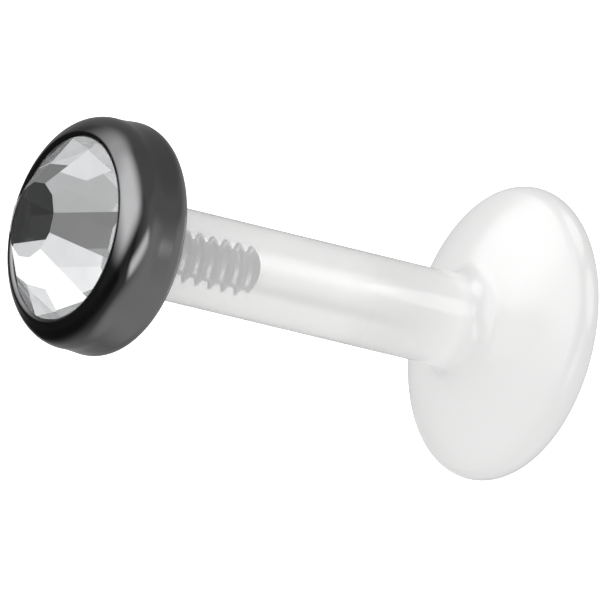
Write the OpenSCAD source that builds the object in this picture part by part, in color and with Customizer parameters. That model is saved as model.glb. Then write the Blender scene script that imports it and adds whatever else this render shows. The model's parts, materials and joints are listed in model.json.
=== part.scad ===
// Labret stud: a moulded plastic post with a flat-backed disc, and a jewelled metal top that screws
// into it. It stands on the disc, +Z runs up the post, and the origin is the middle of the disc's back.
// Millimetres.

/* [Post] */
// Diameter of the shaft that passes through the piercing
shaft_d = 1.2; // [1:0.05:1.6]
// Height of the shaft's open end above the back of the disc
post_l = 6.04; // [5:0.02:12]
// Bevel round the shaft's open end
shaft_bevel = 0.05; // [0.02:0.01:0.15]

/* [Disc] */
// Diameter of the disc that lies inside the lip
disc_d = 3.8; // [3:0.01:5]
// Thickness of the disc's rounded rim
rim_t = 0.5; // [0.3:0.02:0.8]
// Height of the domed front above the flat back, taken up to the axis
dome_h = 0.97; // [0.86:0.01:1.4]
// Fillet where the dome runs into the shaft
foot_fillet = 0.3; // [0.1:0.01:0.4]

/* [Threaded pin] */
// Outer diameter of the thread
thread_d = 0.4; // [0.3:0.01:0.8]
// Distance from one turn to the next
thread_pitch = 0.2; // [0.15:0.005:0.3]
// Depth of the thread, measured on the radius
thread_depth = 0.055; // [0.03:0.005:0.1]
// Turn of the thread about the axis, in degrees
thread_turn = 290; // [0:2:358]
// Length of pin that reaches down into the post
pin_l = 1.84; // [1.2:0.02:3]
// Diameter of the flat on the pin's blunt tip
pin_tip_d = 0.12; // [0.06:0.02:0.3]
// Length of the curve that rounds the tip, cut off where it meets the thread's crests
pin_lead_l = 0.46; // [0.1:0.02:0.8]
// Radial clearance between the thread's crests and the bore
bore_clearance = 0.02; // [0.01:0.005:0.05]
// Room left below the pin at the bottom of the bore
bore_end_room = 0.12; // [0.05:0.01:0.5]

/* [Setting] */
// Diameter of the setting at its back edge
setting_d = 3.04; // [2.8:0.01:4]
// Height of the setting from its back to the crest of its lip
setting_h = 0.99; // [0.85:0.01:1.4]
// Diameter of the front of the setting, before its edge is rounded
setting_front_d = 3.01; // [2.8:0.01:4]
// Depth of the shallow waist between back and front
waist_depth = 0.025; // [0.005:0.005:0.06]
// Rounding of the back edge
back_round = 0.25; // [0.1:0.01:0.35]
// Rounding of the front edge
front_round = 0.4; // [0.2:0.01:0.45]
// Bevel on the inner edge of the lip
lip_bevel = 0.05; // [0.02:0.005:0.08]
// Length of the pin's soldered end inside the setting's floor
solder_l = 0.15; // [0.05:0.01:0.3]
// Gap between the back of the setting and the end of the shaft
seat_gap = 0.01; // [0.005:0.005:0.03]

/* [Crystal] */
// Diameter of the crystal at its girdle
crystal_d = 2.42; // [2:0.02:2.6]
// Height of the crystal from its flat foiled back to its table
crystal_h = 0.89; // [0.7:0.01:1.1]
// Corner-to-corner diameter of the table
table_d = 0.98; // [0.7:0.01:1.4]
// Number of facets round the crown
crown_facets = 12; // [8:1:12]
// Slope of the crown facets, in degrees
crown_angle = 39; // [30:1:45]
// Turn of the facets about the axis, in degrees
facet_turn = 17.5; // [0:0.5:30]
// Width of the crystal's rim that the lip covers
lip_cover = 0.04; // [0.02:0.002:0.08]
// Clearance between the crystal and the setting
crystal_clearance = 0.012; // [0.006:0.002:0.03]
// Height of the table above the crest of the lip
table_rise = 0.455; // [0.3:0.005:0.6]

/* [Hidden] */

$fn = 96;
arc_steps = 10;
thread_sides = 24;
overshoot = 1;

shaft_r = shaft_d / 2;
disc_r = disc_d / 2;
rim_r = rim_t / 2;

// The dome is an arc centred on the axis that runs smoothly into the rounded rim
rim_centre = [disc_r - rim_r, rim_r];
dome_rise = dome_h - rim_r;
dome_r = (pow(rim_centre.x, 2) + pow(dome_rise, 2) - pow(rim_r, 2)) / (2 * (dome_rise - rim_r));
dome_centre = [0, dome_h - dome_r];
dome_start = atan2(rim_centre.y - dome_centre.y, rim_centre.x);

fillet_x = shaft_r + foot_fillet;
fillet_centre = [fillet_x, dome_centre.y + sqrt(pow(dome_r + foot_fillet, 2) - pow(fillet_x, 2))];
dome_end = atan2(fillet_centre.y - dome_centre.y, fillet_x);

thread_r = thread_d / 2;
root_r = thread_r - thread_depth;
pin_tip_z = post_l - pin_l;
bore_r = thread_r + bore_clearance;
bore_floor_z = pin_tip_z - bore_end_room;

setting_r = setting_d / 2;
setting_z = post_l + seat_gap;
lip_z = setting_z + setting_h;
pin_top_z = setting_z + solder_l;

crystal_r = crystal_d / 2;
lip_r = crystal_r - lip_cover;
table_z = lip_z + table_rise;
crystal_z = table_z - crystal_h;
pocket_r = crystal_r + crystal_clearance;
pocket_z = crystal_z - crystal_clearance;

// Height of the crown's ridges at radius r, raised by the clearance: the underside of the lip
function ridge_z(r) = table_z - (r - table_d / 2) * cos(180 / crown_facets) * tan(crown_angle)
    + crystal_clearance / cos(crown_angle);

// Points of an arc in the plane of radius and height
function arc(centre, r, from, to) =
    [for (i = [0 : arc_steps]) let (a = from + (to - from) * i / arc_steps) centre + r * [cos(a), sin(a)]];

// Points that round one corner of an outline, each corner given as [radius, height, rounding]
function round_corner(before, corner, after) =
    let (
        at = [corner.x, corner.y],
        to_before = ([before.x, before.y] - at) / norm([before.x, before.y] - at),
        to_after = ([after.x, after.y] - at) / norm([after.x, after.y] - at),
        half = acos(to_before * to_after) / 2,
        middle = (to_before + to_after) / norm(to_before + to_after),
        centre = at + middle * corner.z / sin(half),
        start = at + to_before * corner.z / tan(half) - centre,
        first = atan2(start.y, start.x),
        turn = 180 - 2 * half,
        way = cross(to_before, to_after) < 0 ? 1 : -1
    )
    arc(centre, corner.z, first, first + way * turn);

// An outline with the corners whose rounding is above zero rounded
function rounded(corners) =
    let (last = len(corners) - 1)
    [for (i = [0 : last])
        each corners[i].z > 0
            ? round_corner(corners[i == 0 ? last : i - 1], corners[i], corners[i == last ? 0 : i + 1])
            : [[corners[i].x, corners[i].y]]];

// One turn of the thread's form: share of the pitch along the axis, share of the depth
thread_form = [[0, 0], [0.28, 1], [0.36, 1], [0.64, 0]];
thread_rows = len(thread_form);
// The thread starts a turn below the tip and ends a turn above the pin's soldered end
thread_z = pin_tip_z - 1.5 * thread_pitch;
turns = ceil((pin_top_z - pin_tip_z) / thread_pitch) + 3;

// A point of the thread: row counts along the helix, side counts round it
function thread_point(row, side) =
    let (
        form = thread_form[row % thread_rows],
        z = thread_z + thread_pitch * (floor(row / thread_rows) + form.x + side / thread_sides),
        r = root_r + thread_depth * form.y,
        a = 360 * side / thread_sides - thread_turn
    )
    [r * cos(a), r * sin(a), z];

// Right-handed threaded rod, longer than the pin at both ends
module threaded_rod() {
    rows = turns * thread_rows;
    // A whole turn further round is the same side, one turn higher
    function at(row, side) = (row + (side == thread_sides ? thread_rows : 0)) * thread_sides + side % thread_sides;
    points = concat(
        [for (row = [0 : rows + thread_rows]) for (side = [0 : thread_sides - 1]) thread_point(row, side)],
        [[0, 0, thread_z], [0, 0, thread_z + thread_pitch * (turns + 1)]]
    );
    bottom = len(points) - 2;
    top = len(points) - 1;
    function end_loop(row) = concat(
        [for (side = [0 : thread_sides - 1]) at(row, side)],
        [for (step = [thread_rows : -1 : 1]) at(row + step, 0)]
    );
    function fan(loop, centre, up) = [for (i = [0 : len(loop) - 1])
        let (a = loop[i], b = loop[(i + 1) % len(loop)]) up ? [centre, b, a] : [centre, a, b]];
    sides = [for (row = [0 : rows - 1]) for (side = [0 : thread_sides - 1]) each [
        [at(row, side), at(row + 1, side), at(row + 1, side + 1)],
        [at(row, side), at(row + 1, side + 1), at(row, side + 1)]
    ]];
    polyhedron(points, concat(sides, fan(end_loop(0), bottom, false), fan(end_loop(rows), top, true)), convexity = 4);
}

// The threaded rod cut to length, with a blunt, rounded tip
module pin() {
    tip_r = pin_tip_d / 2;
    outer_r = thread_r + thread_depth;
    tip = [for (i = [0 : arc_steps]) let (a = 90 * i / arc_steps)
        [tip_r + (outer_r - tip_r) * sin(a), pin_tip_z + pin_lead_l * (1 - cos(a))]];
    intersection() {
        threaded_rod();
        rotate_extrude() polygon(concat([[0, pin_tip_z]], tip, [[outer_r, pin_top_z], [0, pin_top_z]]));
    }
}

// Shaft and disc, moulded in one piece of milky plastic, with a bore for the pin
module post() {
    outline = concat(
        [[0, 0]],
        arc(rim_centre, rim_r, -90, dome_start),
        arc(dome_centre, dome_r, dome_start, dome_end),
        arc(fillet_centre, foot_fillet, 180 + dome_end, 180),
        [[shaft_r, post_l - shaft_bevel], [shaft_r - shaft_bevel, post_l], [0, post_l]]
    );
    color("whitesmoke")
        difference() {
            rotate_extrude() polygon(outline);
            translate([0, 0, bore_floor_z]) cylinder(r = bore_r, h = post_l - bore_floor_z + overshoot);
        }
}

// Bezel cup of black coated metal, with the threaded pin soldered to its back
module setting() {
    front_r = setting_front_d / 2;
    corners = [
        [0, setting_z, 0],
        [setting_r, setting_z, back_round],
        [min(setting_r, front_r) - waist_depth, (setting_z + lip_z) / 2, setting_h],
        [front_r, lip_z, front_round],
        [0, lip_z, 0]
    ];
    // Opening for the crystal: flat floor, straight wall, and a lip that closes over the crown
    pocket = [
        [0, pocket_z],
        [pocket_r, pocket_z],
        [pocket_r, ridge_z(pocket_r)],
        [lip_r, ridge_z(lip_r)],
        [lip_r, lip_z - lip_bevel],
        [lip_r + lip_bevel + overshoot, lip_z + overshoot],
        [0, lip_z + overshoot]
    ];
    color("dimgray") {
        difference() {
            rotate_extrude() polygon(rounded(corners));
            rotate_extrude() polygon(pocket);
        }
        pin();
    }
}

// Flat-backed cut crystal: a table, sloping crown facets and a round girdle
module crystal() {
    base_r = table_d / 2 + crystal_h / tan(crown_angle) / cos(180 / crown_facets);
    color("lightsteelblue")
        translate([0, 0, crystal_z])
            intersection() {
                cylinder(r = crystal_r, h = crystal_h);
                rotate([0, 0, facet_turn])
                    cylinder(r1 = base_r, r2 = table_d / 2, h = crystal_h, $fn = crown_facets);
            }
}

post();
setting();
crystal();
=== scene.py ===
import json
import math

import bmesh
import bpy
from mathutils import Matrix, Vector


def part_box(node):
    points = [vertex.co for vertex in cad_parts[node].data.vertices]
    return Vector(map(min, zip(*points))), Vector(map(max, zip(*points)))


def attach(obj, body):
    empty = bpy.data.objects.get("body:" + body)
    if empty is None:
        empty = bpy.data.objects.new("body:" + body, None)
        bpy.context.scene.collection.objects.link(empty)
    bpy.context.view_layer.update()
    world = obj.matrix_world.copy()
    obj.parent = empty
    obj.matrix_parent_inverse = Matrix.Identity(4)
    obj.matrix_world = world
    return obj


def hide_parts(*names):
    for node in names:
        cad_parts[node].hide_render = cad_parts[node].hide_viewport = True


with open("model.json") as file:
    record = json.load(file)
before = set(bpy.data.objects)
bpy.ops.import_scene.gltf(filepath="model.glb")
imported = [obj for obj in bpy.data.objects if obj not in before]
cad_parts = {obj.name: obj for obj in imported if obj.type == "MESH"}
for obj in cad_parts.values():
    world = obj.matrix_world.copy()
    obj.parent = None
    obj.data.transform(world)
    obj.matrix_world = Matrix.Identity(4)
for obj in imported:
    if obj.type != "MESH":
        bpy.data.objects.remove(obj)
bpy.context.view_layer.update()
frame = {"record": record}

mm = 0.001
fullTurn = 2 * math.pi
white = (1, 1, 1, 1)

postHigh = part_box("post")[1]
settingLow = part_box("setting")[0]
crystalLow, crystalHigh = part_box("crystal")
mounts = {mount["name"]: mount for mount in frame["record"]["mounts"]}
shaftRadius = mounts["piercing_shaft"]["dims"]["r_mm"] * mm


# Outlines are lists of (radius, height), spun round the stud's axis

def arcPoints(centre, radius, first, last, steps):
    angles = [first + (last - first) * i / steps for i in range(steps + 1)]
    return [centre + radius * Vector((math.cos(a), math.sin(a))) for a in angles]


def cornerArc(before, corner, after, radius):
    toBefore = (before - corner).normalized()
    toAfter = (after - corner).normalized()
    half = toBefore.angle(toAfter) / 2
    centre = corner + (toBefore + toAfter).normalized() * radius / math.sin(half)
    start = corner + toBefore * radius / math.tan(half) - centre
    first = math.atan2(start.y, start.x)
    sweep = math.pi - 2 * half
    leftHand = toBefore.x * toAfter.y - toBefore.y * toAfter.x < 0
    return centre, first, first + (sweep if leftHand else -sweep)


def roundCorner(before, corner, after, radius, steps):
    centre, first, last = cornerArc(before, corner, after, radius)
    return arcPoints(centre, radius, first, last, steps)


def spinOutline(name, outline, segments):
    work = bmesh.new()
    rings = []
    for point in outline:
        count = segments if point.x > 0 else 1  # one vertex where the outline meets the axis
        ring = []
        for i in range(count):
            angle = fullTurn * i / count
            ring.append(work.verts.new((point.x * math.cos(angle), point.x * math.sin(angle), point.y)))
        rings.append(ring)
    for low, high in zip(rings, rings[1:]):
        for i in range(segments):
            j = i + 1
            corners = [low[i % len(low)], low[j % len(low)], high[j % len(high)], high[i % len(high)]]
            work.faces.new(list(dict.fromkeys(corners)))
    mesh = bpy.data.meshes.new(name)
    work.to_mesh(mesh)
    work.free()
    return mesh


def shadeSmooth(mesh, sharpAngle):
    mesh.shade_smooth()
    mesh.set_sharp_from_angle(angle=math.radians(sharpAngle))


def placePiece(name, mesh, materials=()):
    piece = bpy.data.objects.new(name, mesh)
    bpy.context.scene.collection.objects.link(piece)
    for material in materials:
        mesh.materials.append(material)
    return piece


# Node trees: an input is either a socket to link or a value to set

def setInputs(tree, node, inputs):
    for key, value in inputs.items():
        if isinstance(value, bpy.types.NodeSocket):
            tree.links.new(value, node.inputs[key])
        else:
            node.inputs[key].default_value = value


def addNode(tree, kind, inputs=None, **settings):
    node = tree.nodes.new(kind)
    for name, value in settings.items():
        setattr(node, name, value)
    setInputs(tree, node, inputs or {})
    return node


def maths(tree, operation, *values, clamp=False):
    inputs = dict(enumerate(values))
    return addNode(tree, "ShaderNodeMath", inputs, operation=operation, use_clamp=clamp).outputs[0]


def dotProduct(tree, first, second):
    inputs = {0: first, 1: second}
    return addNode(tree, "ShaderNodeVectorMath", inputs, operation="DOT_PRODUCT").outputs["Value"]


def heightOf(tree, vector):
    return addNode(tree, "ShaderNodeSeparateXYZ", {0: vector}).outputs["Z"]


# noise keeps mostly between 0.3 and 0.7, so that is the span stretched unless another is given
def rescale(tree, value, low, high, fromLow=0.3, fromHigh=0.7):
    inputs = {"Value": value, "From Min": fromLow, "From Max": fromHigh, "To Min": low, "To Max": high}
    return addNode(tree, "ShaderNodeMapRange", inputs).outputs["Result"]


def toneCurve(tree, value, tones):
    levels = sorted(tones.items())
    tone = levels[0][1]
    for (low, lowTone), (high, highTone) in zip(levels, levels[1:]):
        tone = maths(tree, "ADD", tone, rescale(tree, value, 0, highTone - lowTone, low, high))
    return tone


# Materials

def newMaterial(name):
    material = bpy.data.materials.new(name)
    material.use_nodes = True
    tree = material.node_tree
    return material, tree, tree.nodes["Principled BSDF"]


def objectPoint(tree):
    return addNode(tree, "ShaderNodeTexCoord").outputs["Object"]


def objectNoise(tree, scale, detail, stretch=(1, 1, 1)):
    mapping = addNode(tree, "ShaderNodeMapping", {"Vector": objectPoint(tree), "Scale": stretch})
    inputs = {"Vector": mapping.outputs[0], "Scale": scale, "Detail": detail}
    return addNode(tree, "ShaderNodeTexNoise", inputs).outputs["Fac"]


def mottle(tree, noise, first, second):
    mix = addNode(tree, "ShaderNodeMix", {0: rescale(tree, noise, 0, 1)}, data_type="RGBA")
    for socket, colour in zip([s for s in mix.inputs if s.type == "RGBA"], (first, second)):
        socket.default_value = (*colour, 1)
    return next(socket for socket in mix.outputs if socket.type == "RGBA")


def dimmed(colour, share):
    return tuple(share * c for c in colour)


def bump(tree, height, strength, distance):
    inputs = {"Height": height, "Strength": strength, "Distance": distance}
    return addNode(tree, "ShaderNodeBump", inputs).outputs[0]


# Geometry Nodes: a tree with named inputs, run on a base mesh and kept as a plain mesh

socketKinds = {int: "Int", float: "Float", bpy.types.Material: "Material"}


def newTree(name, values):
    tree = bpy.data.node_groups.new(name, "GeometryNodeTree")
    tree.interface.new_socket("Geometry", in_out="INPUT", socket_type="NodeSocketGeometry")
    for label, value in values.items():
        kind = "NodeSocket" + socketKinds[type(value)]
        tree.interface.new_socket(label, in_out="INPUT", socket_type=kind)
    tree.interface.new_socket("Geometry", in_out="OUTPUT", socket_type="NodeSocketGeometry")
    return tree, tree.nodes.new("NodeGroupInput").outputs


# each step is a material and the faces that take it, None for all of them
def endTree(tree, geometry, *materialSteps):
    geometry = addNode(tree, "GeometryNodeRealizeInstances", {"Geometry": geometry}).outputs[0]
    for material, selection in materialSteps:
        inputs = {"Geometry": geometry, "Material": material}
        if selection is not None:
            inputs["Selection"] = selection
        geometry = addNode(tree, "GeometryNodeSetMaterial", inputs).outputs[0]
    tree.links.new(geometry, tree.nodes.new("NodeGroupOutput").inputs[0])


def mergeClose(tree, geometry, distance, smooth):
    inputs = {"Geometry": geometry, "Distance": distance}
    joined = addNode(tree, "GeometryNodeMergeByDistance", inputs).outputs[0]
    shading = {"Geometry": joined, "Shade Smooth": smooth}
    return addNode(tree, "GeometryNodeSetShadeSmooth", shading).outputs[0]


def growPiece(name, baseMesh, tree, values):
    base = placePiece(name + "Base", baseMesh)
    modifier = base.modifiers.new("grow", "NODES")
    modifier.node_group = tree
    sockets = {item.name: item.identifier for item in tree.interface.items_tree if item.in_out == "INPUT"}
    for label, value in values.items():
        modifier[sockets[label]] = value
    graph = bpy.context.evaluated_depsgraph_get()
    mesh = bpy.data.meshes.new_from_object(base.evaluated_get(graph))
    mesh.name = name
    base.modifiers.remove(modifier)
    bpy.data.objects.remove(base)
    return placePiece(name, mesh)


# Post: shaft and disc moulded in one piece of milky plastic

postSettings = {
    "rimThickness": 0.5 * mm,
    "domeHeight": 0.97 * mm,  # the dome's own arc, carried on to the axis
    "footFillet": 0.3 * mm,
    "endBevel": 0.05 * mm,
    "boreRadius": 0.22 * mm,
    "boreDepth": 1.96 * mm,
    "wallRing": 0.02 * mm,  # a ring this far from each end keeps the long wall's shading straight
    "touch": 0.001 * mm,  # how close a face is to the bore's wall to count as part of it
    "segments": 192,
    "arcSteps": 32,
    "filletSteps": 24,
    "sharpAngle": 30,
    # painted light and shade: how light the plastic is, by height above the disc's back in mm; lighter up
    # the shaft to cancel the shade the disc throws on it, darker round the rim and in the crease at the
    # shaft's foot
    "tones": {0.0: 0.835, 0.35: 0.845, 0.5: 0.88, 0.65: 0.895, 0.85: 0.895, 1.0: 0.875, 1.3: 0.945,
              1.8: 0.985, 2.5: 0.99, 3.0: 0.94},
    "milk": (1.0, 1.0, 0.995),
    "milkThin": (0.985, 0.985, 0.98),
    "clouds": {"scale": 900.0, "detail": 4.0},
    "ripples": {"scale": 1500.0, "detail": 1.0},
    "rippleBump": (0.03, 0.002 * mm),  # strength and depth
    "roughness": (0.05, 0.08),
    "softness": 0.16,  # roughness added at the disc
    "softRange": (0.9 * mm, 2.2 * mm),
    "ior": 1.5,
    "clear": (0.04, 0.52),  # how much light goes through the surface: at the disc, along the shaft
    "clearRange": (1.3 * mm, 2.6 * mm),
    "boreDensity": 0.03,  # how much light the bore's wall stops
    "boreRoughness": 0.3,
}


def milkyPlastic():
    look = postSettings
    material, tree, shader = newMaterial("milkyPlastic")
    height = heightOf(tree, objectPoint(tree))
    clouds = objectNoise(tree, **look["clouds"])
    ripples = objectNoise(tree, **look["ripples"])
    milk = mottle(tree, clouds, look["milk"], look["milkThin"])
    # painted light and shade: the milk's colour is scaled by a lightness that changes with height
    tone = toneCurve(tree, height, {level * mm: tone for level, tone in look["tones"].items()})
    milkWithPaintedLight = addNode(tree, "ShaderNodeVectorMath", {0: milk, "Scale": tone}, operation="SCALE").outputs[0]
    softness = rescale(tree, height, look["softness"], 0.0, *look["softRange"])
    setInputs(tree, shader, {
        "Base Color": milkWithPaintedLight,
        "Roughness": maths(tree, "ADD", softness, rescale(tree, clouds, *look["roughness"])),
        "Normal": bump(tree, ripples, *look["rippleBump"]),
        "Transmission Weight": rescale(tree, height, *look["clear"], *look["clearRange"]),
        "IOR": look["ior"],
    })
    return material


def boreLining():
    look = postSettings
    material, tree, shader = newMaterial("boreLining")
    clouds = objectNoise(tree, **look["clouds"])
    setInputs(tree, shader, {
        "Base Color": mottle(tree, clouds, look["milk"], look["milkThin"]),
        "Roughness": look["boreRoughness"],
        "Alpha": look["boreDensity"],
    })
    return material


def postOutline():
    sizes = postSettings
    discRadius, top = postHigh.x, postHigh.z
    rimRadius = sizes["rimThickness"] / 2
    rimCentre = Vector((discRadius - rimRadius, rimRadius))
    # the dome's arc runs on smoothly from the rim's
    rise = sizes["domeHeight"] - rimRadius
    domeRadius = (rimCentre.x ** 2 + rise ** 2 - rimRadius ** 2) / (2 * (rise - rimRadius))
    domeCentre = Vector((0, sizes["domeHeight"] - domeRadius))
    domeStart = math.atan2(rimCentre.y - domeCentre.y, rimCentre.x)
    # and the fillet's arc from the dome's to the shaft
    fillet = sizes["footFillet"]
    filletX = shaftRadius + fillet
    filletCentre = Vector((filletX, domeCentre.y + math.sqrt((domeRadius + fillet) ** 2 - filletX ** 2)))
    domeEnd = math.atan2(filletCentre.y - domeCentre.y, filletX)
    bevel, bore, ring = sizes["endBevel"], sizes["boreRadius"], sizes["wallRing"]
    return [
        Vector((0, 0)),
        *arcPoints(rimCentre, rimRadius, -math.pi / 2, domeStart, sizes["arcSteps"]),
        *arcPoints(domeCentre, domeRadius, domeStart, domeEnd, sizes["arcSteps"])[1:],
        *arcPoints(filletCentre, fillet, math.pi + domeEnd, math.pi, sizes["filletSteps"])[1:],
        Vector((shaftRadius, filletCentre.y + ring)),
        Vector((shaftRadius, top - bevel - ring)),
        Vector((shaftRadius, top - bevel)),
        Vector((shaftRadius - bevel, top)),
        Vector((bore, top)),
        Vector((bore, top - sizes["boreDepth"])),
        Vector((0, top - sizes["boreDepth"])),
    ]


def buildPost():
    sizes = postSettings
    mesh = spinOutline("post", postOutline(), sizes["segments"])
    shadeSmooth(mesh, sizes["sharpAngle"])
    piece = placePiece("milkyPost", mesh, (milkyPlastic(), boreLining()))
    boreReach = sizes["boreRadius"] + sizes["touch"]
    boreFloor = postHigh.z - sizes["boreDepth"] - sizes["touch"]
    for face in mesh.polygons:
        middle = face.center
        if middle.xy.length < boreReach and middle.z > boreFloor:
            face.material_index = 1
    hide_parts("post")
    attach(piece, "pierced_post")
    print("post built:", len(mesh.polygons), "faces")
    return piece


# Crystal: one facet's wedge, repeated round the axis

crystalSettings = {
    "facets": 12,
    "tableRadius": 0.49 * mm,
    "crownAngle": math.radians(39),
    "facetTurn": math.radians(17.5),
    "arcSteps": 16,
    "mergeDistance": 0.0001 * mm,
    "sideBelow": 0.1,  # a face whose normal points up less than this is the side's
    "backBelow": -0.5,  # and less than this, the back's
    "ior": 1.56,
    "tint": (0.97, 0.975, 0.98),
    "tintDim": 0.985,  # share of the tint that is left where the glass is hazy
    "haze": {"scale": 1500.0, "detail": 2.0},
    "foil": (0.86, 0.865, 0.87),
    "foilDim": 0.94,  # and so for the foil
    "foilRoughness": (0.0, 0.004),
    "crinkles": {"scale": 2600.0, "detail": 4.0},
    "girdle": (0.75, 0.75, 0.75),
    "girdleDim": 0.8,  # and for the side
    "girdleRoughness": 0.6,
    "girdleGlow": 0.36,  # stands for the light that the ground side gathers
    "grinding": {"scale": 6000.0, "detail": 3.0, "stretch": (1, 1, 0.3)},
}


def crownHeight(radius):
    cosine = math.cos(math.pi / crystalSettings["facets"])
    apothem = crystalSettings["tableRadius"] * cosine
    ridge = radius * cosine
    return crystalHigh.z - (ridge - apothem) * math.tan(crystalSettings["crownAngle"])


def crystalGlass():
    look = crystalSettings
    material, tree, shader = newMaterial("crystalGlass")
    haze = objectNoise(tree, **look["haze"])
    setInputs(tree, shader, {
        "Base Color": mottle(tree, haze, look["tint"], dimmed(look["tint"], look["tintDim"])),
        "Roughness": 0.0,
        "IOR": look["ior"],
        "Transmission Weight": 1.0,
    })
    return material


def silverFoil():
    look = crystalSettings
    material, tree, shader = newMaterial("silverFoil")
    crinkles = objectNoise(tree, **look["crinkles"])
    setInputs(tree, shader, {
        "Base Color": mottle(tree, crinkles, look["foil"], dimmed(look["foil"], look["foilDim"])),
        "Roughness": rescale(tree, crinkles, *look["foilRoughness"]),
        "Metallic": 1.0,
    })
    return material


def groundGirdle():
    look = crystalSettings
    material, tree, shader = newMaterial("groundGirdle")
    grinding = objectNoise(tree, **look["grinding"])
    setInputs(tree, shader, {
        "Base Color": mottle(tree, grinding, look["girdle"], dimmed(look["girdle"], look["girdleDim"])),
        "Roughness": look["girdleRoughness"],
        "Emission Color": white,
        "Emission Strength": look["girdleGlow"],
    })
    return material


def facetWedge():
    sizes = crystalSettings
    halfAngle = math.pi / sizes["facets"]
    tableRadius, girdle = sizes["tableRadius"], crystalHigh.x
    apothem = tableRadius * math.cos(halfAngle)
    slope = math.tan(sizes["crownAngle"])
    tableZ, backZ = crystalHigh.z, crystalLow.z
    angles = [-halfAngle + 2 * halfAngle * i / sizes["arcSteps"] for i in range(sizes["arcSteps"] + 1)]
    work = bmesh.new()

    def vertex(radius, angle, z):
        return work.verts.new((radius * math.cos(angle), radius * math.sin(angle), z))

    tableMiddle, backMiddle = vertex(0, 0, tableZ), vertex(0, 0, backZ)
    tableStart, tableEnd = vertex(tableRadius, -halfAngle, tableZ), vertex(tableRadius, halfAngle, tableZ)
    crownEdge = [vertex(girdle, a, tableZ - (girdle * math.cos(a) - apothem) * slope) for a in angles]
    backEdge = [vertex(girdle, a, backZ) for a in angles]
    work.faces.new([tableMiddle, tableStart, tableEnd])
    work.faces.new([tableStart, *crownEdge, tableEnd])
    for i in range(sizes["arcSteps"]):
        work.faces.new([crownEdge[i], backEdge[i], backEdge[i + 1], crownEdge[i + 1]])
    work.faces.new([backMiddle, *reversed(backEdge)])
    mesh = bpy.data.meshes.new("facetWedge")
    work.to_mesh(mesh)
    work.free()
    return mesh


def crystalTree(values):
    tree, given = newTree("facetRing", values)
    spots = addNode(tree, "GeometryNodePoints", {"Count": given["Facets"]}).outputs[0]
    index = addNode(tree, "GeometryNodeInputIndex").outputs[0]
    step = maths(tree, "DIVIDE", fullTurn, given["Facets"])
    angle = maths(tree, "MULTIPLY_ADD", index, step, given["Turn"])
    wedges = addNode(tree, "GeometryNodeInstanceOnPoints", {
        "Points": spots,
        "Instance": given["Geometry"],
        "Rotation": addNode(tree, "ShaderNodeCombineXYZ", {"Z": angle}).outputs[0],
    }).outputs[0]
    whole = addNode(tree, "GeometryNodeRealizeInstances", {"Geometry": wedges}).outputs[0]
    flat = mergeClose(tree, whole, given["Merge Distance"], False)
    up = heightOf(tree, addNode(tree, "GeometryNodeInputNormal").outputs[0])

    def lowerThan(limit):
        return addNode(tree, "FunctionNodeCompare", {"A": up, "B": limit}, operation="LESS_THAN").outputs[0]

    side, behind = lowerThan(given["Side Below"]), lowerThan(given["Back Below"])
    endTree(tree, flat, (given["Glass"], None), (given["Girdle"], side), (given["Foil"], behind))
    return tree


def buildCrystal():
    values = {
        "Facets": crystalSettings["facets"],
        "Turn": crystalSettings["facetTurn"] + math.pi / crystalSettings["facets"],
        "Merge Distance": crystalSettings["mergeDistance"],
        "Side Below": crystalSettings["sideBelow"],
        "Back Below": crystalSettings["backBelow"],
        "Glass": crystalGlass(),
        "Girdle": groundGirdle(),
        "Foil": silverFoil(),
    }
    piece = growPiece("cutCrystal", facetWedge(), crystalTree(values), values)
    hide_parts("crystal")
    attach(piece, "jewelled_top")
    print("crystal cut:", len(piece.data.polygons), "faces")


# Bezel: the black cup that holds the crystal

bezelSettings = {
    "seatGap": 0.01 * mm,  # between the post's end and the cup's back
    "height": 0.99 * mm,
    "backRadius": 1.52 * mm,
    "frontRadius": 1.505 * mm,
    "waistDepth": 0.025 * mm,  # how far the side is drawn in halfway up
    "backRound": 0.25 * mm,
    "frontRound": 0.4 * mm,
    "lipRound": 0.07 * mm,
    "lipCover": 0.06 * mm,  # how far the lip reaches over the crystal
    "clearance": 0.012 * mm,  # between the crystal and its pocket
    "segments": 224,
    "backSteps": 24,
    "waistSteps": 16,
    "lipSteps": 32,
    "sharpAngle": 35,
    "coat": (0.172, 0.172, 0.176),
    "coatWorn": (0.224, 0.224, 0.228),
    "patches": {"scale": 700.0, "detail": 3.0},
    "peel": {"scale": 5200.0, "detail": 2.0},
    "peelBump": (0.04, 0.002 * mm),  # strength and depth
    "roughness": (0.07, 0.13),
}


def blackCoat():
    look = bezelSettings
    material, tree, shader = newMaterial("blackCoat")
    patches = objectNoise(tree, **look["patches"])
    peel = objectNoise(tree, **look["peel"])
    setInputs(tree, shader, {
        "Base Color": mottle(tree, patches, look["coat"], look["coatWorn"]),
        "Roughness": rescale(tree, patches, *look["roughness"]),
        "Normal": bump(tree, peel, *look["peelBump"]),
        "Metallic": 1.0,
    })
    return material


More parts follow.
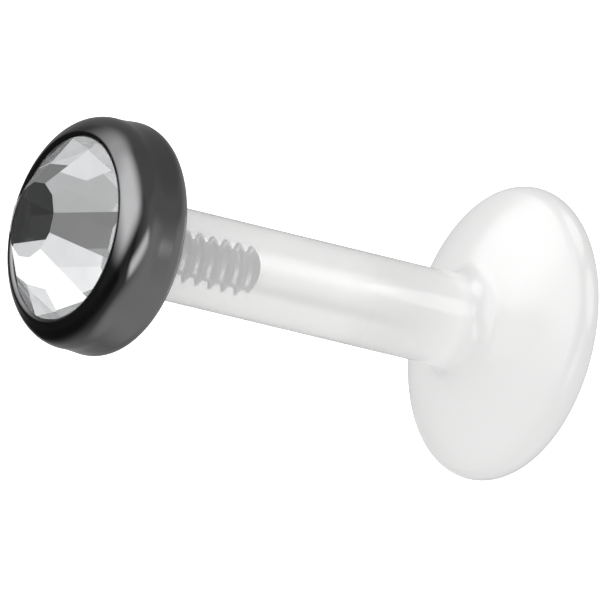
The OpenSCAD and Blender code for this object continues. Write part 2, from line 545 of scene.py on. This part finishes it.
def bezelOutline():
    sizes = bezelSettings
    backZ = postHigh.z + sizes["seatGap"]
    lipZ = backZ + sizes["height"]
    waistRadius = min(sizes["backRadius"], sizes["frontRadius"]) - sizes["waistDepth"]
    waist = Vector((waistRadius, (backZ + lipZ) / 2))
    back = Vector((sizes["backRadius"], backZ))
    front = Vector((sizes["frontRadius"], lipZ))
    axisBack, axisFront = Vector((0, backZ)), Vector((0, lipZ))
    lipRadius = crystalHigh.x - sizes["lipCover"]
    pocketRadius = crystalHigh.x + sizes["clearance"]
    gap = sizes["clearance"] / math.cos(crystalSettings["crownAngle"])
    # the lip's round crest runs on smoothly from the rounding of the front, down to the crown
    frontRound, lipRound = sizes["frontRound"], sizes["lipRound"]
    frontCentre, frontStart, _ = cornerArc(waist, front, axisFront, frontRound)
    lipStart = math.acos((lipRadius + lipRound - frontCentre.x) / (frontRound - lipRound))
    lipCentre = frontCentre + (frontRound - lipRound) * Vector((math.cos(lipStart), math.sin(lipStart)))
    crest = arcPoints(lipCentre, lipRound, lipStart, math.pi, sizes["lipSteps"])
    overCrown = [point for point in crest if point.y > crownHeight(point.x) + gap]
    return [
        axisBack,
        *roundCorner(axisBack, back, waist, sizes["backRound"], sizes["backSteps"]),
        *roundCorner(back, waist, front, sizes["height"], sizes["waistSteps"]),
        *arcPoints(frontCentre, frontRound, frontStart, lipStart, sizes["lipSteps"]),
        *overCrown[1:],
        Vector((pocketRadius, crownHeight(pocketRadius) + gap)),
        Vector((pocketRadius, crystalLow.z - sizes["clearance"])),
        Vector((0, crystalLow.z - sizes["clearance"])),
    ]


def buildBezel():
    mesh = spinOutline("bezel", bezelOutline(), bezelSettings["segments"])
    shadeSmooth(mesh, bezelSettings["sharpAngle"])
    piece = placePiece("blackBezel", mesh, (blackCoat(),))
    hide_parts("setting")
    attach(piece, "jewelled_top")
    print("bezel built:", len(mesh.polygons), "faces")


# Thread: the pin that screws into the post

threadSettings = {
    "sizes": {  # inputs of the thread's tree
        "Outer Radius": 0.2 * mm,
        "Depth": 0.055 * mm,
        "Pitch": 0.2 * mm,
        "Flank": 0.28,  # share of the pitch taken by each flank
        "Crest": 0.08,  # and by the crest
        "Crest Blend": 0.1,  # how far the crest's edges are rounded, as a share of the depth
        "Turn Offset": math.radians(290),
        "Tip Radius": 0.06 * mm,
        "Lead Length": 0.46 * mm,  # the blunt tip, up to the full crests
        "End Length": 0.004 * mm,  # over which the flat ends close
        "Merge Distance": 0.00002 * mm,
        "Steps Per Turn": 96,
        "Rows Per Turn": 24,
    },
    "spareTurns": 3,  # half below the tip, the rest above the top, drawn together in each end's middle
    "sink": 0.15 * mm,  # how far the pin runs into the bezel's floor
    "bright": (0.52, 0.52, 0.525),
    "dull": (0.36, 0.36, 0.365),
    "grain": {"scale": 9000.0, "detail": 3.0, "stretch": (0.3, 0.3, 2.0)},
    "grainBump": (0.15, 0.002 * mm),  # strength and depth
    "roughness": (0.1, 0.16),
}


def bareSteel():
    look = threadSettings
    material, tree, shader = newMaterial("bareSteel")
    grain = objectNoise(tree, **look["grain"])
    setInputs(tree, shader, {
        "Base Color": mottle(tree, grain, look["dull"], look["bright"]),
        "Roughness": rescale(tree, grain, *look["roughness"]),
        "Normal": bump(tree, grain, *look["grainBump"]),
        "Metallic": 1.0,
    })
    return material


def threadTree(values):
    tree, given = newTree("screwThread", values)

    def calc(operation, *terms, clamp=False):
        return maths(tree, operation, *terms, clamp=clamp)

    grid = addNode(tree, "GeometryNodeMeshGrid", {
        "Size X": 1.0,
        "Size Y": 1.0,
        "Vertices X": calc("MULTIPLY_ADD", given["Turns"], given["Steps Per Turn"], 1),
        "Vertices Y": calc("ADD", given["Rows Per Turn"], 1),
    })
    place = addNode(tree, "ShaderNodeSeparateXYZ", {0: grid.outputs["UV Map"]}).outputs
    turns = calc("MULTIPLY", place["X"], given["Turns"])
    across = place["Y"]
    # the form rises over one flank, stays up over the crest and falls over the other flank
    rising = calc("DIVIDE", across, given["Flank"])
    crestEnd = calc("ADD", given["Crest"], calc("MULTIPLY", given["Flank"], 2))
    falling = calc("DIVIDE", calc("SUBTRACT", crestEnd, across), given["Flank"])
    form = calc("SMOOTH_MIN", calc("MINIMUM", rising, falling), 1.0, given["Crest Blend"], clamp=True)
    root = calc("SUBTRACT", given["Outer Radius"], given["Depth"])
    radius = calc("MULTIPLY_ADD", form, given["Depth"], root)
    climb = calc("ADD", turns, across)
    height = calc("MULTIPLY_ADD", given["Pitch"], climb, given["Start Height"])
    # the blunt tip: an ellipse from the tip's flat out to just past the crests
    aboveTip = calc("SUBTRACT", height, given["Tip Height"])
    share = calc("SUBTRACT", 1.0, calc("DIVIDE", aboveTip, given["Lead Length"], clamp=True))
    bulge = calc("SQRT", calc("SUBTRACT", 1.0, calc("MULTIPLY", share, share)))
    pastCrests = calc("ADD", given["Outer Radius"], given["Depth"])
    room = calc("SUBTRACT", pastCrests, given["Tip Radius"])
    tipClosing = calc("DIVIDE", aboveTip, given["End Length"], clamp=True)
    flat = calc("MULTIPLY", given["Tip Radius"], tipClosing)
    radius = calc("MINIMUM", radius, calc("MULTIPLY_ADD", room, bulge, flat))
    # the flat top, out of sight in the bezel's floor
    belowTop = calc("SUBTRACT", given["Top Height"], height)
    radius = calc("MULTIPLY", radius, calc("DIVIDE", belowTop, given["End Length"], clamp=True))
    height = calc("MINIMUM", calc("MAXIMUM", height, given["Tip Height"]), given["Top Height"])
    angle = calc("SUBTRACT", calc("MULTIPLY", turns, fullTurn), given["Turn Offset"])
    position = addNode(tree, "ShaderNodeCombineXYZ", {
        "X": calc("MULTIPLY", radius, calc("COSINE", angle)),
        "Y": calc("MULTIPLY", radius, calc("SINE", angle)),
        "Z": height,
    }).outputs[0]
    moved = {"Geometry": grid.outputs["Mesh"], "Position": position}
    bent = addNode(tree, "GeometryNodeSetPosition", moved).outputs[0]
    smooth = mergeClose(tree, bent, given["Merge Distance"], True)
    endTree(tree, smooth, (given["Material"], None))
    return tree


def buildThread():
    pitch, spare = threadSettings["sizes"]["Pitch"], threadSettings["spareTurns"]
    tip = settingLow.z
    top = postHigh.z + bezelSettings["seatGap"] + threadSettings["sink"]
    values = {
        **threadSettings["sizes"],
        "Turns": math.ceil((top - tip) / pitch) + spare,
        "Start Height": tip - spare / 2 * pitch,
        "Tip Height": tip,
        "Top Height": top,
        "Material": bareSteel(),
    }
    piece = growPiece("threadedPin", bpy.data.meshes.new("threadBase"), threadTree(values), values)
    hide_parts("setting")
    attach(piece, "jewelled_top")
    print("thread cut:", len(piece.data.polygons), "faces")


# Studio: floor, light and camera

studio = {
    "floorSize": 4.0,
    "floorColour": 0.9,
    "floorRoughness": 0.9,
    "floorGlow": 0.75,
    "backdrop": 1.3,  # what the camera sees behind the stud
    "softLight": 1.0,  # what falls on every side
    "softSlant": 0.15,  # and how much more of it from this direction
    "softToward": (150, 60),
    "plasticGlow": 1.15,  # the room as it shows through the plastic
}
# How bright the room's mirror image is, by height above the horizon in degrees
roomTones = {-90: 0.79, -45: 0.325, -15: 0.36, 15: 0.157, 45: 0.073, 90: 0.045}
# Cards and flags round the stud. Azimuth runs from the camera's side towards +X. Angles are in degrees,
# the edge says how soft a card's border is, and the glow how bright the card
cardColumns = ("azimuth", "height", "roll", "halfWidth", "halfHeight", "edge", "glow")
cards = {
    "lowCard": (104.4, -13.5, -12.4, 61.7, 31.8, 0.21, 0.27),
    "leftFlag": (-118, 30.3, 39, 64, 19.7, 0.23, 0.02),
    "frontFlag": (11.3, 28.8, -1.5, 30, 5.6, 0.1, 0.05),
    "stripLight": (-8, -1.5, 42, 10, 25, 0.14, 2.35),
    "softBox": (68.9, 56.4, -3.6, 38.2, 32, 0.41, 2.32),
    "backBox": (126, 35, -45.4, 14.1, 29.2, 0.35, 1.43),
    "backFlag": (205.3, 41.4, -28.5, 22.7, 34.3, 0.07, 0.03),
    "lowFill": (-47.3, -41.6, 48.8, 39.9, 55.4, 0.6, 0.67),
}
# These show only in light that was mirrored inside the crystal, or by the pin inside the plastic
innerCards = {
    "throughBox": (131.4, 32.8, -19.5, 26.2, 22.9, 0.08, 1.65),
    "throughDim": (154, 24, -20, 8, 5.5, 0.06, 1.05),
    "throughLeft": (-140.7, 33.8, -13.5, 29.8, 13.3, 0.08, 0.9),
    "throughFlag": (-160.8, 30.7, -2.4, 7.2, 11.5, 0.08, 0.02),
    "throughFill": (-172.1, 44.7, 3.3, 12.1, 9, 0.08, 1.58),
    "pinCard": (-65, -33, 0, 70, 9, 0.12, 2.0),
}
# These show only straight through the plastic
plasticCards = {
    "shaftStreak": (-166, -33, 0, 7, 40, 0.12, 1.85),
    "shaftLine": (166.5, -33, 0, 5, 40, 0.07, 0.72),
}
# Soft lamps that only the plastic mirrors, each aimed at a point on the stud's axis
lampColumns = ("azimuth", "height", "angleAcross", "glow", "distance", "aimHeight")
plasticLamps = {
    "discLamp": (145, 43, 50, 1.88, 100 * mm, 0.5 * mm),
    "rimLamp": (90, -4, 42, 2.7, 100 * mm, 0.5 * mm),
    "edgeLamp": (-160, -16, 22, 0.4, 100 * mm, 0.5 * mm),
    "footLamp": (34, -33, 32, 2.2, 5 * mm, 1.5 * mm),
}
cameraSettings = {
    "distance": 250 * mm,
    "offAxis": math.radians(57.25),  # between the stud's axis and the view
    "roll": math.radians(13.55),
    "aim": Vector((0, 0, 0.25 * mm)),  # the middle of the disc's rim
    "aimPixel": (502.2, 332.9),
    "focalPixels": 19700.0,
    "frame": 600,
    "sensor": 36,
    "clip": (0.01, 20),
}


def directionTo(azimuth, height):
    across, up = math.radians(azimuth), math.radians(height)
    return Vector((math.sin(across) * math.cos(up), -math.cos(across) * math.cos(up), math.sin(up)))


def buildFloor():
    half = studio["floorSize"] / 2
    mesh = bpy.data.meshes.new("floor")
    corners = [(-half, -half, 0), (half, -half, 0), (half, half, 0), (-half, half, 0)]
    mesh.from_pydata(corners, [], [(0, 1, 2, 3)])
    material, tree, shader = newMaterial("paleFloor")
    setInputs(tree, shader, {
        "Base Color": (studio["floorColour"],) * 3 + (1,),
        "Roughness": studio["floorRoughness"],
        "Emission Color": white,
        "Emission Strength": studio["floorGlow"],
    })
    floor = placePiece("floor", mesh, (material,))
    floor.visible_diffuse = False  # the light comes evenly from below too, as over a light table
    floor.visible_glossy = False
    floor.visible_transmission = False
    floor.visible_shadow = False


def layCard(tree, direction, below, row):
    card = dict(zip(cardColumns, row))
    toward = directionTo(card["azimuth"], card["height"])
    level = directionTo(card["azimuth"] + 90, 0)
    turned = Matrix.Rotation(math.radians(card["roll"]), 3, toward) @ level
    rise = toward.cross(turned)
    facing, sideways, upward = [dotProduct(tree, direction, axis) for axis in (toward, turned, rise)]
    ahead = maths(tree, "MAXIMUM", facing, 0.001)  # never zero, as the others are divided by it
    mask = maths(tree, "GREATER_THAN", facing, 0.0)
    for offset, half in ((sideways, card["halfWidth"]), (upward, card["halfHeight"])):
        reach = maths(tree, "ABSOLUTE", maths(tree, "DIVIDE", offset, ahead))
        limit = math.tan(math.radians(half))
        inputs = {"Value": reach, "From Min": limit + card["edge"], "From Max": limit - card["edge"]}
        fade = addNode(tree, "ShaderNodeMapRange", inputs, interpolation_type="SMOOTHSTEP")
        mask = maths(tree, "MULTIPLY", mask, fade.outputs["Result"])
    return maths(tree, "MULTIPLY_ADD", mask, maths(tree, "SUBTRACT", card["glow"], below), below)


def layCards(tree, direction, below, rows):
    for row in rows.values():
        below = layCard(tree, direction, below, row)
    return below


def buildWorld():
    world = bpy.data.worlds.new("studioRoom")
    bpy.context.scene.world = world
    world.use_nodes = True
    tree = world.node_tree
    tree.nodes.clear()

    def choose(test, yes, no):
        return maths(tree, "MULTIPLY_ADD", test, maths(tree, "SUBTRACT", yes, no), no)

    direction = addNode(tree, "ShaderNodeTexCoord").outputs["Generated"]
    degrees = maths(tree, "DEGREES", maths(tree, "ARCSINE", heightOf(tree, direction)))
    room = layCards(tree, direction, toneCurve(tree, degrees, roomTones), cards)
    throughCrystal = layCards(tree, direction, room, innerCards)
    throughPlastic = layCards(tree, direction, studio["plasticGlow"], plasticCards)
    rays = addNode(tree, "ShaderNodeLightPath").outputs
    # light that comes out of the crystal has been mirrored by its foil, out of the plastic it hasn't
    foiled = maths(tree, "GREATER_THAN", rays["Glossy Depth"], 0.5)
    through = choose(foiled, throughCrystal, throughPlastic)
    mirrored = choose(rays["Is Transmission Ray"], through, room)
    facing = dotProduct(tree, direction, directionTo(*studio["softToward"]))
    soft = maths(tree, "MULTIPLY_ADD", facing, studio["softSlant"], studio["softLight"])
    scattered = choose(rays["Is Glossy Ray"], mirrored, soft)
    strength = choose(rays["Is Camera Ray"], studio["backdrop"], scattered)
    light = addNode(tree, "ShaderNodeBackground", {"Color": white, "Strength": strength}).outputs[0]
    addNode(tree, "ShaderNodeOutputWorld", {"Surface": light})


def addLamps(post):
    lit = bpy.data.collections.new("plasticOnly")
    lit.objects.link(post)
    for name, row in plasticLamps.items():
        spec = dict(zip(lampColumns, row))
        data = bpy.data.lights.new(name, "AREA")
        data.shape = "DISK"
        data.size = 2 * spec["distance"] * math.tan(math.radians(spec["angleAcross"] / 2))
        discArea = math.pi * data.size ** 2 / 4
        data.energy = spec["glow"] * math.pi * discArea
        lamp = bpy.data.objects.new(name, data)
        bpy.context.scene.collection.objects.link(lamp)
        outward = directionTo(spec["azimuth"], spec["height"])
        lamp.location = Vector((0, 0, spec["aimHeight"])) + outward * spec["distance"]
        lamp.rotation_mode = "QUATERNION"
        lamp.rotation_quaternion = outward.to_track_quat("Z", "Y")
        lamp.visible_camera = False
        lamp.visible_diffuse = False
        lamp.visible_transmission = False
        lamp.light_linking.receiver_collection = lit
        lamp.light_linking.blocker_collection = lit


def buildCamera():
    sizes = cameraSettings
    tilt, roll = sizes["offAxis"], sizes["roll"]
    back = Vector((0, -math.sin(tilt), math.cos(tilt)))
    level, steep = Vector((1, 0, 0)), Vector((0, math.cos(tilt), math.sin(tilt)))
    right = math.sin(roll) * level - math.cos(roll) * steep
    up = math.cos(roll) * level + math.sin(roll) * steep
    middle = (sizes["frame"] - 1) / 2
    perPixel = sizes["distance"] / sizes["focalPixels"]
    across = (sizes["aimPixel"][0] - middle) * perPixel
    down = (sizes["aimPixel"][1] - middle) * perPixel
    data = bpy.data.cameras.new("camera")
    data.sensor_width = sizes["sensor"]
    data.lens = sizes["focalPixels"] / sizes["frame"] * data.sensor_width
    data.clip_start, data.clip_end = sizes["clip"]
    camera = bpy.data.objects.new("camera", data)
    bpy.context.scene.collection.objects.link(camera)
    place = sizes["aim"] + back * sizes["distance"] - right * across + up * down
    axes = Matrix((right, up, back)).transposed().to_4x4()
    camera.matrix_world = Matrix.Translation(place) @ axes
    bpy.context.scene.camera = camera


buildCamera()
buildFloor()
buildWorld()
print("studio set up")
addLamps(buildPost())
buildBezel()
buildThread()
buildCrystal()
bpy.context.scene.view_settings.view_transform = "Standard"
